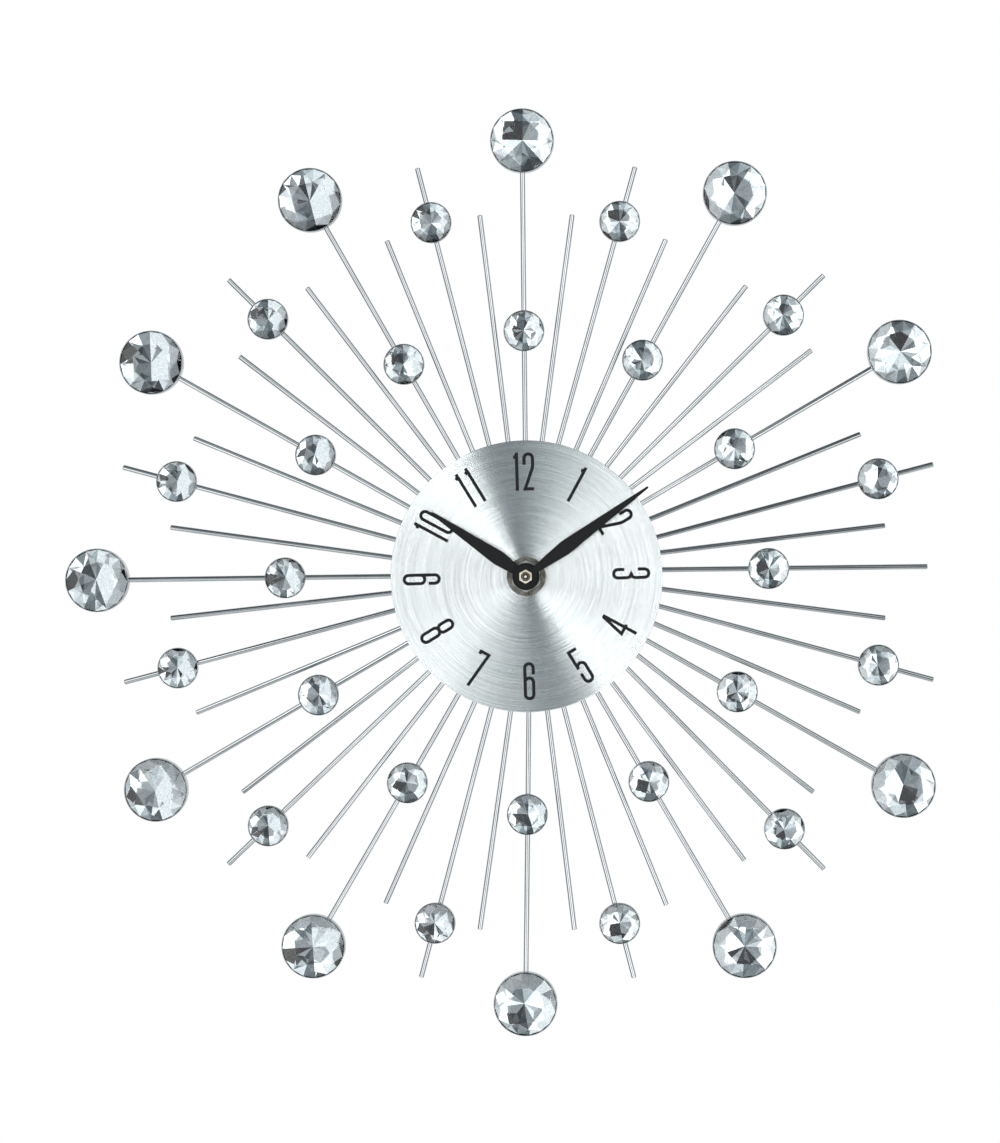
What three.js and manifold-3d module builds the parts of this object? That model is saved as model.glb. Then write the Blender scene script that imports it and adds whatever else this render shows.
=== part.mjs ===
// Sunburst wall clock: a welded star of steel rods set with faceted acrylic jewels, a spun
// aluminium dial, two hands and a battery quartz movement behind it.
//
// Millimetres, +Z up, +X to the right as seen from the front. The front faces -Y. The wall is the
// plane y = 0, and the arbor of the hands lies on the Y axis, so the origin is the middle of the
// movement's back.
// Clock angles are degrees clockwise from 12 as seen from the front, which is positive about +Y.
import * as THREE from "three";
import { mergeVertices } from "three/addons/utils/BufferGeometryUtils.js";
import { ConvexGeometry } from "three/addons/geometries/ConvexGeometry.js";
import Module from "manifold-3d";

const wasm = await Module();
wasm.setup();

// ---- Driving dimensions -------------------------------------------------------------------------

const GAP = 0.3; // left between pieces that touch
const OVERALL = 330; // tip to tip across the jewels at 12 and 6

// Rays
const HOURS = 12;
const RAYS_PER_HOUR = 4;
const BARE_HOUR = 3; // the long ray that carries no large jewel
const ROD_RADIUS = 1;
const ROD_SIDES = 6;
const ROD_START = 26; // where a rod begins, over the hub plate
const SHORT_RAY = 128.4;
const MEDIUM_RAY = 149.3;

// Jewels and their settings
const LARGE_SETTING = { radius: 11.36, wall: 0.5, floor: 0.6, depth: 5.6, crown: 3.4, sides: 12 };
const SMALL_SETTING = { radius: 7.27, wall: 0.45, floor: 0.5, depth: 3, crown: 2.3, sides: 10 };
const LARGE_CIRCLE = OVERALL / 2 - LARGE_SETTING.radius;
const INNER_CIRCLE = 86;
const OUTER_CIRCLE = 129;
const JEWEL_PLAY = 0.15; // room beyond GAP, because a many-sided rim is narrower at its flats
const GIRDLE = 0.4;
const GIRDLE_BELOW_RIM = 0.5;
const TABLE_PART = 0.56; // radius of the table, as a part of the jewel's radius
const STAR_PART = 0.8; // the same for the outer corners of the star facets
const STAR_RISE = 0.58; // their height, as a part of the crown's

// Dial, washers and nuts
const DIAL_RADIUS = 48.4;
const DIAL_THICKNESS = 1;
const HUB_PLATE_RADIUS = 40;
const HUB_PLATE_THICKNESS = 1.2;
const BUSHING_RADIUS = 4;
const CLEARANCE_HOLE = BUSHING_RADIUS + 0.35;
const RUBBER_WASHER = { radius: 12, thickness: 1 };
const DIAL_WASHER = { radius: 6.95, thickness: 0.6 };
const BUSHING_NUT = { acrossCorners: 11.5, thickness: 2 };
const HAND_NUT = { acrossCorners: 5, thickness: 1.5 };

// Hands, from the arbor outwards: how far along, and the half width there
const MINUTE_HAND = {
  angle: 54.2, length: 53.7, waist: 4, waistHalf: 1.25, belly: 17.5, bellyHalf: 2.55, tipHalf: 0.4,
};
const HOUR_HAND = {
  angle: 304.4, length: 40.6, waist: 4, waistHalf: 1.8, belly: 12.1, bellyHalf: 2.6, tipHalf: 0.5,
};
const HAND_THICKNESS = 0.5;
const BELLY_LENGTH = 1.6; // the straight part at the widest point
const HOUR_HUB = { radius: 4.85, thickness: 1.2 };
const MINUTE_HUB = { radius: 4, thickness: 0.8 };

// Movement
const CASE_SIDE = 56;
const CASE_DEPTH = 16;
const CASE_WALL = 1.5;
const CASE_CORNER = 3;
const BAY_WALL = 1;
const PARTITION = { low: -12, high: -10.5 }; // between the gears and the battery
const COVER_THICKNESS = 1.5;
const MIDDLE_PLATE = { back: -9.3, front: -10.3 };
const POST = { radius: 2, x: 23, low: -7.5, high: 23 }; // the middle plate rests on four
const HANGER = { width: 18, top: 38.5, thickness: 3, holeWidth: 8, holeLow: 29.5, holeHigh: 35 };
const BATTERY = { radius: 7.1, length: 48.6, z: -19.5, y: -7.6, capRadius: 2.7, capLength: 1.2 };

// Meshing gears: the teeth of the wheel and of the pinion, and how far apart their axes are.
const meshing = (wheel, pinion, distance) => {
  return { wheel, pinion, distance, module: (2 * distance) / (wheel + pinion) };
};
const THIRD_DISTANCE = 8.8; // keeps the third wheel's arbor clear of the hour wheel
const MOTION_DISTANCE = 9.6;
const TRAIN = {
  centreToThird: meshing(48, 6, THIRD_DISTANCE),
  thirdToSeconds: meshing(45, 6, THIRD_DISTANCE),
  secondsToIntermediate: meshing(30, 6, 6.48),
  intermediateToRotor: meshing(36, 6, 6.09),
  cannonToMotion: meshing(36, 12, MOTION_DISTANCE),
  motionToHour: meshing(32, 8, MOTION_DISTANCE),
};
const ADDENDUM = 0.7; // of a tooth, in modules
const DEDENDUM = 1.3;
const TOOTH_TIP = 0.1; // width of a tooth's tip, as a part of the pitch
// Where each axis lies from the one it meshes with, in degrees from +X towards +Z
const THIRD_DIRECTION = 10;
const MOTION_DIRECTION = 135;
const INTERMEDIATE_DIRECTION = 100;
const ROTOR_DIRECTION = 75;

// Where each gear starts and ends along Y
const LAYERS = {
  rotorMagnet: [-2.6, -4.4],
  rotorPinion: [-4.4, -6.2],
  intermediateWheel: [-5.2, -6],
  intermediatePinion: [-6, -7.6],
  secondsWheel: [-6.6, -7.4],
  secondsPinion: [-7.4, -9],
  thirdWheel: [-8, -8.8],
  thirdPinion: [-8.8, -11.7],
  centreWheel: [-10.7, -11.5],
  cannonPinion: [-11.5, -12.9],
  motionWheel: [-12, -12.8],
  motionPinion: [-12.8, -14.1],
  knobPinion: [-11.9, -12.9],
  hourWheel: [-13.3, -14.1],
};

const SECONDS_ARBOR = 0.5;
const MINUTE_PIPE = { radius: 1.6, thread: 1.35, bore: 0.95 };
const HOUR_PIPE = { radius: 2.5, bore: 1.95 };
const BUSHING_BORE = 2.9;
const MOTION_BORE = 1;
const MOTION_STUD = 0.7;
const THIN_ARBOR = 0.4;
const ARBOR_BACK = -0.8; // in the back cover's pivot holes
const PLATE_PIVOT = -10; // the front end of the arbors that turn in the middle plate
const CASE_PIVOT = -15.2; // and of the one that turns in the case's front wall
const PIVOT_HOLE = 0.75;
const KNOB = { radius: 5.6, ribs: 18, ribDepth: 0.5, shaft: 1.2, back: -0.4, front: -2.7 };
const ROTOR_MAGNET = 3;
const STATOR_HOLE = 3.6;

// Electrics
const STATOR = { back: -3, front: -4, left: -5.5, right: 21, low: 7.6, high: 16.9, top: 24.4, leg: 4 };
const COIL = { y: -4.8, z: 21.4, radius: 2.9, winding: 2.4, flange: 0.8, coreHalf: 2, core: 1 };
const BOARD = { left: 10.5, right: 24.2, low: -9.5, high: 6.5, back: -3.6, front: -4.6 };
const CHIP = { at: [15.5, 1.5], radius: 3, height: 1 };
const CRYSTAL = { left: 20, right: 22.4, low: -7.5, high: -1.5, height: 1.7, corner: 1.1 };
const CONTACT = { x: 25.5, low: -25, high: -13, thickness: 0.5, back: -4, front: -11 };
const CONTACT_TAB = { overlap: 1, high: -5, front: -5.5 }; // the strip's end beside the board
const SPRING = { middle: -19.5, foot: 2.5, rise: 0.9 }; // the tongue at the battery's flat end

// Levels along Y, from the movement's face to the front
const MOVEMENT_FACE = -CASE_DEPTH;
const RUBBER_BACK = MOVEMENT_FACE - GAP;
const HUB_PLATE_BACK = RUBBER_BACK - RUBBER_WASHER.thickness - GAP;
const HUB_PLATE_FRONT = HUB_PLATE_BACK - HUB_PLATE_THICKNESS;
const WELD_DEPTH = 0.15;
const ROD_Y = HUB_PLATE_FRONT + WELD_DEPTH - ROD_RADIUS;
const ROD_FRONT = ROD_Y - ROD_RADIUS;
const DIAL_BACK = ROD_FRONT - GAP;
const DIAL_FRONT = DIAL_BACK - DIAL_THICKNESS;
const DIAL_WASHER_BACK = DIAL_FRONT - GAP;
const BUSHING_NUT_BACK = DIAL_WASHER_BACK - DIAL_WASHER.thickness - GAP;
const BUSHING_FRONT = BUSHING_NUT_BACK - BUSHING_NUT.thickness - 0.6;
const HOUR_HAND_BACK = BUSHING_FRONT - 0.5;
const HOUR_PIPE_FRONT = HOUR_HAND_BACK - HOUR_HUB.thickness;
const MINUTE_HAND_BACK = HOUR_PIPE_FRONT - 0.4;
const HAND_NUT_BACK = MINUTE_HAND_BACK - MINUTE_HUB.thickness - GAP;
const HAND_NUT_FRONT = HAND_NUT_BACK - HAND_NUT.thickness;
const MINUTE_PIPE_FRONT = HAND_NUT_FRONT + 0.2;
const SECONDS_ARBOR_FRONT = HAND_NUT_FRONT - 0.1;
const MINUTE_PIPE_STEP = MINUTE_HAND_BACK + 0.3; // where the minute pipe narrows to its thread
LARGE_SETTING.back = ROD_Y + LARGE_SETTING.depth / 2; // round the end of its rod
SMALL_SETTING.back = ROD_FRONT + WELD_DEPTH; // on the front of its rod

// ---- Materials ----------------------------------------------------------------------------------

const finish = (color, roughness, metalness) => {
  return new THREE.MeshStandardMaterial({ color, roughness, metalness });
};
const STEEL = finish(0xc9ced2, 0.22, 1);
const ALUMINIUM = finish(0xdfe4e6, 0.35, 1);
const NICKEL = finish(0xb9b4a6, 0.3, 1);
const BRASS = finish(0xd9cfa8, 0.3, 1);
const JEWEL = finish(0xc4d0da, 0.05, 0.4);
const HAND_BLACK = finish(0x17181a, 0.6, 0);
const CASE_BLACK = finish(0x1d1d1f, 0.55, 0);
const RUBBER = finish(0x222222, 0.85, 0);
const GEAR_WHITE = finish(0xe9e6dc, 0.5, 0);
const KNOB_RED = finish(0xb4282a, 0.45, 0);
const COPPER = finish(0xb56b3c, 0.35, 1);
const BOARD_GREEN = finish(0x2b6a43, 0.55, 0);
const BATTERY_SLEEVE = finish(0x2f3a4a, 0.4, 0.2);
const MAGNET = finish(0x3d3f42, 0.5, 0.6);

// ---- Geometry helpers ---------------------------------------------------------------------------

const radians = THREE.MathUtils.degToRad;

// The point at a clock angle and distance from the arbor, seen from the front: x and z.
function clockPoint(angle, distance) {
  return [distance * Math.sin(radians(angle)), distance * Math.cos(radians(angle))];
}

// The point that lies a distance from another in a direction given from +X towards +Z.
function stepFrom([x, z], direction, distance) {
  return [x + distance * Math.cos(radians(direction)), z + distance * Math.sin(radians(direction))];
}

// A closed three.js geometry as a manifold solid.
function solid(geometry) {
  const bare = geometry.clone();
  bare.deleteAttribute("normal");
  bare.deleteAttribute("uv");
  const merged = mergeVertices(bare, 1e-4);
  return new wasm.Manifold(
    new wasm.Mesh({
      numProp: 3,
      vertProperties: new Float32Array(merged.attributes.position.array),
      triVerts: new Uint32Array(merged.index.array),
    }),
  );
}

// A manifold solid as a three.js geometry.
function geometryOf(body) {
  const mesh = body.getMesh();
  const geometry = new THREE.BufferGeometry();
  geometry.setAttribute("position", new THREE.BufferAttribute(mesh.vertProperties, mesh.numProp));
  geometry.setIndex(new THREE.BufferAttribute(mesh.triVerts, 1));
  geometry.computeVertexNormals();
  return geometry;
}

const union = (first, ...others) => others.reduce((sum, body) => sum.add(body), first);
const cut = (first, ...others) => others.reduce((left, body) => left.subtract(body), first);

// A flat outline, drawn in x and z, as thick as the two levels of y are apart. The back is the
// greater y.
function slab(outline, back, front) {
  const settings = { depth: back - front, bevelEnabled: false, curveSegments: 4 };
  const geometry = new THREE.ExtrudeGeometry(outline, settings);
  geometry.rotateX(Math.PI / 2);
  geometry.translate(0, back, 0);
  return solid(geometry);
}

const shapeOf = (points) => new THREE.Shape(points.map(([x, z]) => new THREE.Vector2(x, z)));

function regular(centre, radius, sides, turn = 0) {
  const points = [];
  for (let i = 0; i < sides; i++) {
    points.push(stepFrom(centre, turn + (360 * i) / sides, radius));
  }
  return shapeOf(points);
}

// A cylinder along Y.
function disc(centre, radius, sides, back, front) {
  return slab(regular(centre, radius, sides), back, front);
}

// A box between two values of x, of z and of y, with its four edges along Y rounded by `corner`.
function block(left, right, low, high, back, front, corner = 0) {
  if (!corner) {
    return slab(shapeOf([[left, low], [right, low], [right, high], [left, high]]), back, front);
  }
  const outline = new THREE.Shape();
  outline.moveTo(left + corner, low);
  outline.absarc(right - corner, low + corner, corner, -Math.PI / 2, 0);
  outline.absarc(right - corner, high - corner, corner, 0, Math.PI / 2);
  outline.absarc(left + corner, high - corner, corner, Math.PI / 2, Math.PI);
  outline.absarc(left + corner, low + corner, corner, Math.PI, (3 * Math.PI) / 2);
  return slab(outline, back, front);
}

// A cylinder along X.
function bar({ y, z }, radius, left, right, sides) {
  const geometry = new THREE.CylinderGeometry(radius, radius, right - left, sides);
  geometry.rotateZ(Math.PI / 2);
  geometry.translate((left + right) / 2, y, z);
  return solid(geometry);
}

// A spur gear with straight-sided teeth, one of them centred on the direction `turn`.
function gear(centre, teeth, module, turn, [back, front]) {
  const pitch = 360 / teeth;
  const root = (teeth * module) / 2 - DEDENDUM * module;
  const tip = (teeth * module) / 2 + ADDENDUM * module;
  const points = [];
  for (let i = 0; i < teeth; i++) {
    for (const [radius, offset] of [[root, -0.5], [tip, -TOOTH_TIP / 2], [tip, TOOTH_TIP / 2]]) {
      points.push(stepFrom(centre, turn + (i + offset) * pitch, radius));
    }
  }
  return slab(shapeOf(points), back, front);
}

// The turn that a gear needs so that its teeth stand in the gaps of the gear it meshes with, which
// lies in the opposite of `direction`.
function meshTurn(otherTeeth, otherTurn, direction, teeth) {
  const pitches = (otherTeeth * (otherTurn - direction)) / 360;
  return direction + 180 + (360 / teeth) * (0.5 - pitches);
}

const clock = new THREE.Group();

function piece(name, body, material) {
  const mesh = new THREE.Mesh(geometryOf(body), material);
  mesh.name = name;
  clock.add(mesh);
  return mesh;
}

// ---- Rays, settings and jewels ------------------------------------------------------------------

// A rod pointing along +Z, from the hub plate to its tip.
function rod(tip) {
  const geometry = new THREE.CylinderGeometry(ROD_RADIUS, ROD_RADIUS, tip - ROD_START, ROD_SIDES);
  geometry.rotateX(Math.PI / 2);
  geometry.translate(0, ROD_Y, (tip + ROD_START) / 2);
  return solid(geometry);
}

// A sheet-metal cup, open to the front.
function setting(distance, { radius, wall, floor, back, depth, sides }) {
  const centre = [0, distance];
  return cut(
    slab(regular(centre, radius, sides, 90), back, back - depth),
    slab(regular(centre, radius - wall, sides, 90), back - floor, back - depth - 1),
  );
}

const atAngle = (body, angle) => body.rotate([0, angle, 0]);
const largeSettingEdge = LARGE_CIRCLE - LARGE_SETTING.radius;

function ray(index) {
  const hour = index / RAYS_PER_HOUR;
  if (index % 2) return rod(SHORT_RAY);
  if (index % RAYS_PER_HOUR) {
    return union(rod(MEDIUM_RAY), setting(OUTER_CIRCLE, SMALL_SETTING));
  }
  const inner = setting(INNER_CIRCLE, SMALL_SETTING);
  if (hour === BARE_HOUR) return union(rod(largeSettingEdge), inner);
  const large = setting(LARGE_CIRCLE, LARGE_SETTING);
  return union(rod(largeSettingEdge + LARGE_SETTING.wall / 2), inner, large);
}

function rayFrame() {
  const plate = cut(
    disc([0, 0], HUB_PLATE_RADIUS, 48, HUB_PLATE_BACK, HUB_PLATE_FRONT),
    disc([0, 0], CLEARANCE_HOLE, 24, HUB_PLATE_BACK + 1, HUB_PLATE_FRONT - 1),
  );
  const count = HOURS * RAYS_PER_HOUR;
  const rays = [];
  for (let index = 0; index < count; index++) {
    rays.push(atAngle(ray(index), (360 / count) * index));
  }
  return union(plate, ...rays);
}

// A brilliant: an octagonal table, a crown of facets, a thin girdle and a pavilion that ends in a
// point.
function brilliant(radius, girdleY, crown, pavilion) {
  const mains = 8;
  const points = [new THREE.Vector3(0, girdleY + pavilion, 0)];
  const ring = (distance, y, sides, turn) => {
    for (let i = 0; i < sides; i++) {
      const angle = turn + (2 * Math.PI * i) / sides;
      points.push(new THREE.Vector3(distance * Math.sin(angle), y, distance * Math.cos(angle)));
    }
  };
  ring(radius * TABLE_PART, girdleY - crown, mains, Math.PI / mains);
  ring(radius * STAR_PART, girdleY - crown * STAR_RISE, mains, 0);
  ring(radius, girdleY, mains * 2, Math.PI / mains / 2);
  ring(radius, girdleY + GIRDLE, mains, 0);
  return new ConvexGeometry(points);
}

function placeJewel(name, angle, distance, holder) {
  const { radius, wall, floor, back, depth, crown } = holder;
  const jewelRadius = radius - wall - GAP - JEWEL_PLAY;
  const girdleY = back - depth + GIRDLE_BELOW_RIM;
  const pavilion = back - floor - GAP - girdleY;
  const mesh = new THREE.Mesh(brilliant(jewelRadius, girdleY, crown, pavilion), JEWEL);
  const [x, z] = clockPoint(angle, distance);
  mesh.position.set(x, 0, z);
  mesh.rotation.y = radians(angle);
  mesh.name = name;
  clock.add(mesh);
}

piece("ray_frame", rayFrame(), STEEL);
for (let hour = 1; hour <= HOURS; hour++) {
  const angle = (360 / HOURS) * hour;
  if (hour !== BARE_HOUR) placeJewel(`large_jewel_${hour}`, angle, LARGE_CIRCLE, LARGE_SETTING);
  placeJewel(`inner_jewel_${hour}`, angle, INNER_CIRCLE, SMALL_SETTING);
  placeJewel(`outer_jewel_${hour}`, angle + 180 / HOURS, OUTER_CIRCLE, SMALL_SETTING);
}

// ---- Dial, washers and nuts ---------------------------------------------------------------------

// A round or six-sided ring along Y.
function ring(outline, holeRadius, back, front) {
  return cut(slab(outline, back, front), disc([0, 0], holeRadius, 24, back + 1, front - 1));
}

const circle = (radius, sides) => regular([0, 0], radius, sides);
const hexagon = (acrossCorners) => regular([0, 0], acrossCorners / 2, 6, 90);

// What is clamped on the movement's threaded bushing.
function clamped(name, outline, back, thickness, material) {
  piece(name, ring(outline, CLEARANCE_HOLE, back, back - thickness), material);
}

const rubberOutline = circle(RUBBER_WASHER.radius, 32);
const washerOutline = circle(DIAL_WASHER.radius, 32);
const nutOutline = hexagon(BUSHING_NUT.acrossCorners);
clamped("rubber_washer", rubberOutline, RUBBER_BACK, RUBBER_WASHER.thickness, RUBBER);
clamped("dial", circle(DIAL_RADIUS, 72), DIAL_BACK, DIAL_THICKNESS, ALUMINIUM);
clamped("dial_washer", washerOutline, DIAL_WASHER_BACK, DIAL_WASHER.thickness, NICKEL);
clamped("bushing_nut", nutOutline, BUSHING_NUT_BACK, BUSHING_NUT.thickness, NICKEL);

// ---- Hands --------------------------------------------------------------------------------------

// A lance: narrow at the hub, widest at the belly, and tapering to a blunt tip. It points along +Z.
function lance({ length, waist, waistHalf, belly, bellyHalf, tipHalf }, back, front) {
  const right = [
    [waistHalf, 0],
    [waistHalf, waist],
    [bellyHalf, belly - BELLY_LENGTH / 2],
    [bellyHalf, belly + BELLY_LENGTH / 2],
    [tipHalf, length - tipHalf],
    [tipHalf / 2, length],
  ];
  const left = right.map(([x, z]) => [-x, z]).reverse();
  return slab(shapeOf([...right, ...left]), back, front);
}

function hand(shape, hub, bore, back) {
  const blade = lance(shape, back - GAP, back - GAP - HAND_THICKNESS);
  const body = cut(
    union(blade, disc([0, 0], hub.radius, 32, back, back - hub.thickness)),
    disc([0, 0], bore, 24, back + 1, back - hub.thickness - 1),
  );
  return atAngle(body, shape.angle);
}

const hourBore = HOUR_PIPE.radius + GAP;
const minuteBore = MINUTE_PIPE.thread + GAP;
const nut = ring(hexagon(HAND_NUT.acrossCorners), minuteBore, HAND_NUT_BACK, HAND_NUT_FRONT);
piece("hour_hand", hand(HOUR_HAND, HOUR_HUB, hourBore, HOUR_HAND_BACK), HAND_BLACK);
piece("minute_hand", hand(MINUTE_HAND, MINUTE_HUB, minuteBore, MINUTE_HAND_BACK), HAND_BLACK);
piece("hand_nut", nut, BRASS);

// ---- Gear train ---------------------------------------------------------------------------------

const CENTRE = [0, 0];
const thirdAxis = stepFrom(CENTRE, THIRD_DIRECTION, THIRD_DISTANCE);
const motionAxis = stepFrom(CENTRE, MOTION_DIRECTION, MOTION_DISTANCE);
const knobAxis = stepFrom(motionAxis, MOTION_DIRECTION, MOTION_DISTANCE);
const intermediateDistance = TRAIN.secondsToIntermediate.distance;
const intermediateAxis = stepFrom(CENTRE, INTERMEDIATE_DIRECTION, intermediateDistance);
const rotorAxis = stepFrom(intermediateAxis, ROTOR_DIRECTION, TRAIN.intermediateToRotor.distance);

const arbor = (axis, radius, front) => disc(axis, radius, 10, ARBOR_BACK, front);

// The wheel or the pinion of a meshing pair, `turn` degrees round its axis.
function wheelOf({ wheel, module }, axis, turn, layer) {
  return gear(axis, wheel, module, turn, layer);
}

function pinionOf({ pinion, module }, axis, turn, layer) {
  return gear(axis, pinion, module, turn, layer);
}

function centreWheel() {
  const body = union(
    wheelOf(TRAIN.centreToThird, CENTRE, 0, LAYERS.centreWheel),
    pinionOf(TRAIN.cannonToMotion, CENTRE, 0, LAYERS.cannonPinion),
    disc(CENTRE, MINUTE_PIPE.radius, 16, LAYERS.cannonPinion[0], MINUTE_PIPE_STEP),
    disc(CENTRE, MINUTE_PIPE.thread, 16, MINUTE_PIPE_STEP, MINUTE_PIPE_FRONT),
  );
  return cut(body, disc(CENTRE, MINUTE_PIPE.bore, 12, 0, MINUTE_PIPE_FRONT - 1));
}

function hourWheel(turn) {
  const body = union(
    wheelOf(TRAIN.motionToHour, CENTRE, turn, LAYERS.hourWheel),
    disc(CENTRE, HOUR_PIPE.radius, 20, LAYERS.hourWheel[0], HOUR_PIPE_FRONT),
  );
  return cut(body, disc(CENTRE, HOUR_PIPE.bore, 16, 0, HOUR_PIPE_FRONT - 1));
}

function motionWheel(turn) {
  const body = union(
    wheelOf(TRAIN.cannonToMotion, motionAxis, turn, LAYERS.motionWheel),
    pinionOf(TRAIN.motionToHour, motionAxis, 0, LAYERS.motionPinion),
  );
  return cut(body, disc(motionAxis, MOTION_BORE, 12, 0, MOVEMENT_FACE));
}

function knurledGrip() {
  const points = [];
  for (let i = 0; i < KNOB.ribs * 2; i++) {
    const radius = i % 2 ? KNOB.radius : KNOB.radius - KNOB.ribDepth;
    points.push(stepFrom(knobAxis, (180 * i) / KNOB.ribs, radius));
  }
  return slab(shapeOf(points), KNOB.back, KNOB.front);
}

function settingKnob(turn) {
  return union(
    knurledGrip(),
    disc(knobAxis, KNOB.shaft, 12, KNOB.front, LAYERS.knobPinion[0]),
    pinionOf(TRAIN.cannonToMotion, knobAxis, turn, LAYERS.knobPinion),
  );
}

function thirdWheel(turn) {
  return union(
    pinionOf(TRAIN.centreToThird, thirdAxis, turn, LAYERS.thirdPinion),
    wheelOf(TRAIN.thirdToSeconds, thirdAxis, 0, LAYERS.thirdWheel),
    arbor(thirdAxis, THIN_ARBOR, CASE_PIVOT),
  );
}

function secondsWheel(turn) {
  return union(
    pinionOf(TRAIN.thirdToSeconds, CENTRE, turn, LAYERS.secondsPinion),
    wheelOf(TRAIN.secondsToIntermediate, CENTRE, 0, LAYERS.secondsWheel),
    arbor(CENTRE, SECONDS_ARBOR, SECONDS_ARBOR_FRONT),
  );
}

function intermediateWheel(turn) {
  return union(
    pinionOf(TRAIN.secondsToIntermediate, intermediateAxis, turn, LAYERS.intermediatePinion),
    wheelOf(TRAIN.intermediateToRotor, intermediateAxis, 0, LAYERS.intermediateWheel),
    arbor(intermediateAxis, THIN_ARBOR, PLATE_PIVOT),
  );
}

function rotor(turn) {
  return union(
    pinionOf(TRAIN.intermediateToRotor, rotorAxis, turn, LAYERS.rotorPinion),
    disc(rotorAxis, ROTOR_MAGNET, 16, ...LAYERS.rotorMagnet),
    arbor(rotorAxis, THIN_ARBOR, PLATE_PIVOT),
  );
}

// How far a pinion is turned to mesh with a wheel that isn't turned.
function pinionTurn({ wheel, pinion }, direction) {
  return meshTurn(wheel, 0, direction, pinion);
}

const { cannonToMotion, motionToHour } = TRAIN;
const motionTurn = meshTurn(cannonToMotion.pinion, 0, MOTION_DIRECTION, cannonToMotion.wheel);
const knobTurn = meshTurn(cannonToMotion.wheel, motionTurn, MOTION_DIRECTION, cannonToMotion.pinion);
const hourTurn = meshTurn(motionToHour.pinion, 0, MOTION_DIRECTION + 180, motionToHour.wheel);
const thirdTurn = pinionTurn(TRAIN.centreToThird, THIRD_DIRECTION);
const secondsTurn = pinionTurn(TRAIN.thirdToSeconds, THIRD_DIRECTION + 180);
const intermediateTurn = pinionTurn(TRAIN.secondsToIntermediate, INTERMEDIATE_DIRECTION);
const rotorTurn = pinionTurn(TRAIN.intermediateToRotor, ROTOR_DIRECTION);

piece("centre_wheel", centreWheel(), BRASS);
piece("hour_wheel", hourWheel(hourTurn), GEAR_WHITE);
piece("motion_wheel", motionWheel(motionTurn), GEAR_WHITE);
piece("third_wheel", thirdWheel(thirdTurn), GEAR_WHITE);
piece("seconds_wheel", secondsWheel(secondsTurn), GEAR_WHITE);
piece("intermediate_wheel", intermediateWheel(intermediateTurn), GEAR_WHITE);
piece("rotor", rotor(rotorTurn), MAGNET);
piece("setting_knob", settingKnob(knobTurn), KNOB_RED);

// ---- Movement case, plates and electrics --------------------------------------------------------

const HALF_CASE = CASE_SIDE / 2;
const INNER = HALF_CASE - CASE_WALL;
const BAY_INNER = HALF_CASE - BAY_WALL;
const FRONT_WALL = MOVEMENT_FACE + CASE_WALL; // the inside of the case's front wall
const INTO_WALL = FRONT_WALL - 0.5; // how far what stands on that wall reaches into it

function movementCase() {
  const bayFront = MOVEMENT_FACE + BAY_WALL;
  const shell = cut(
    block(-HALF_CASE, HALF_CASE, -HALF_CASE, HALF_CASE, 0, MOVEMENT_FACE, CASE_CORNER),
    block(-INNER, INNER, PARTITION.high, INNER, 1, FRONT_WALL, CASE_WALL),
    block(-BAY_INNER, BAY_INNER, -BAY_INNER, PARTITION.low, 1, bayFront),
  );
  const { width, top, thickness, holeWidth, holeLow, holeHigh } = HANGER;
  const hanger = cut(
    block(-width / 2, width / 2, HALF_CASE - 1, top, 0, -thickness, CASE_CORNER),
    block(-holeWidth / 2, holeWidth / 2, holeLow, holeHigh, 1, -thickness - 1),
  );
  const posts = [];
  for (const x of [-POST.x, POST.x]) {
    for (const z of [POST.low, POST.high]) {
      posts.push(disc([x, z], POST.radius, 8, MIDDLE_PLATE.front - GAP, INTO_WALL));
    }
  }
  const stud = disc(motionAxis, MOTION_STUD, 10, LAYERS.centreWheel[1] - 0.1, INTO_WALL);
  const bushing = disc(CENTRE, BUSHING_RADIUS, 24, FRONT_WALL, BUSHING_FRONT);
  const contactSlot = block(
    CONTACT.x - 0.6,
    INNER,
    PARTITION.low - 1,
    PARTITION.high + 1,
    CONTACT.back + 0.4,
    CONTACT_TAB.front - 0.5,
  );
  return cut(
    union(shell, hanger, bushing, stud, ...posts),
    disc(CENTRE, BUSHING_BORE, 20, FRONT_WALL + 1, BUSHING_FRONT - 1),
    disc(thirdAxis, PIVOT_HOLE, 8, FRONT_WALL + 1, CASE_PIVOT - GAP),
    contactSlot,
  );
}

function middlePlate() {
  const edge = INNER - GAP;
  const { back, front } = MIDDLE_PLATE;
  const hole = (axis, radius) => disc(axis, radius, 12, back + 1, front - 1);
  const tabRoom = block(
    CONTACT.x - 0.8,
    edge + 1,
    PARTITION.high - 1,
    CONTACT_TAB.high + 0.4,
    back + 1,
    front - 1,
  );
  return cut(
    block(-edge, edge, PARTITION.high + GAP, edge, back, front, CASE_WALL),
    hole(CENTRE, SECONDS_ARBOR + 0.35),
    hole(thirdAxis, 1.8),
    hole(knobAxis, KNOB.shaft + 0.35),
    hole(intermediateAxis, PIVOT_HOLE),
    hole(rotorAxis, PIVOT_HOLE),
    tabRoom,
  );
}

function backCover() {
  const edge = INNER - GAP;
  const inside = -COVER_THICKNESS - 1;
  const pivots = [CENTRE, thirdAxis, intermediateAxis, rotorAxis].map((axis) =>
    disc(axis, PIVOT_HOLE + 0.15, 8, ARBOR_BACK + GAP, inside),
  );
  return cut(
    block(-edge, edge, PARTITION.high + GAP, edge, 0, -COVER_THICKNESS, CASE_WALL),
    disc(knobAxis, KNOB.radius + 0.5, 24, 1, inside),
    ...pivots,
  );
}

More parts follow.
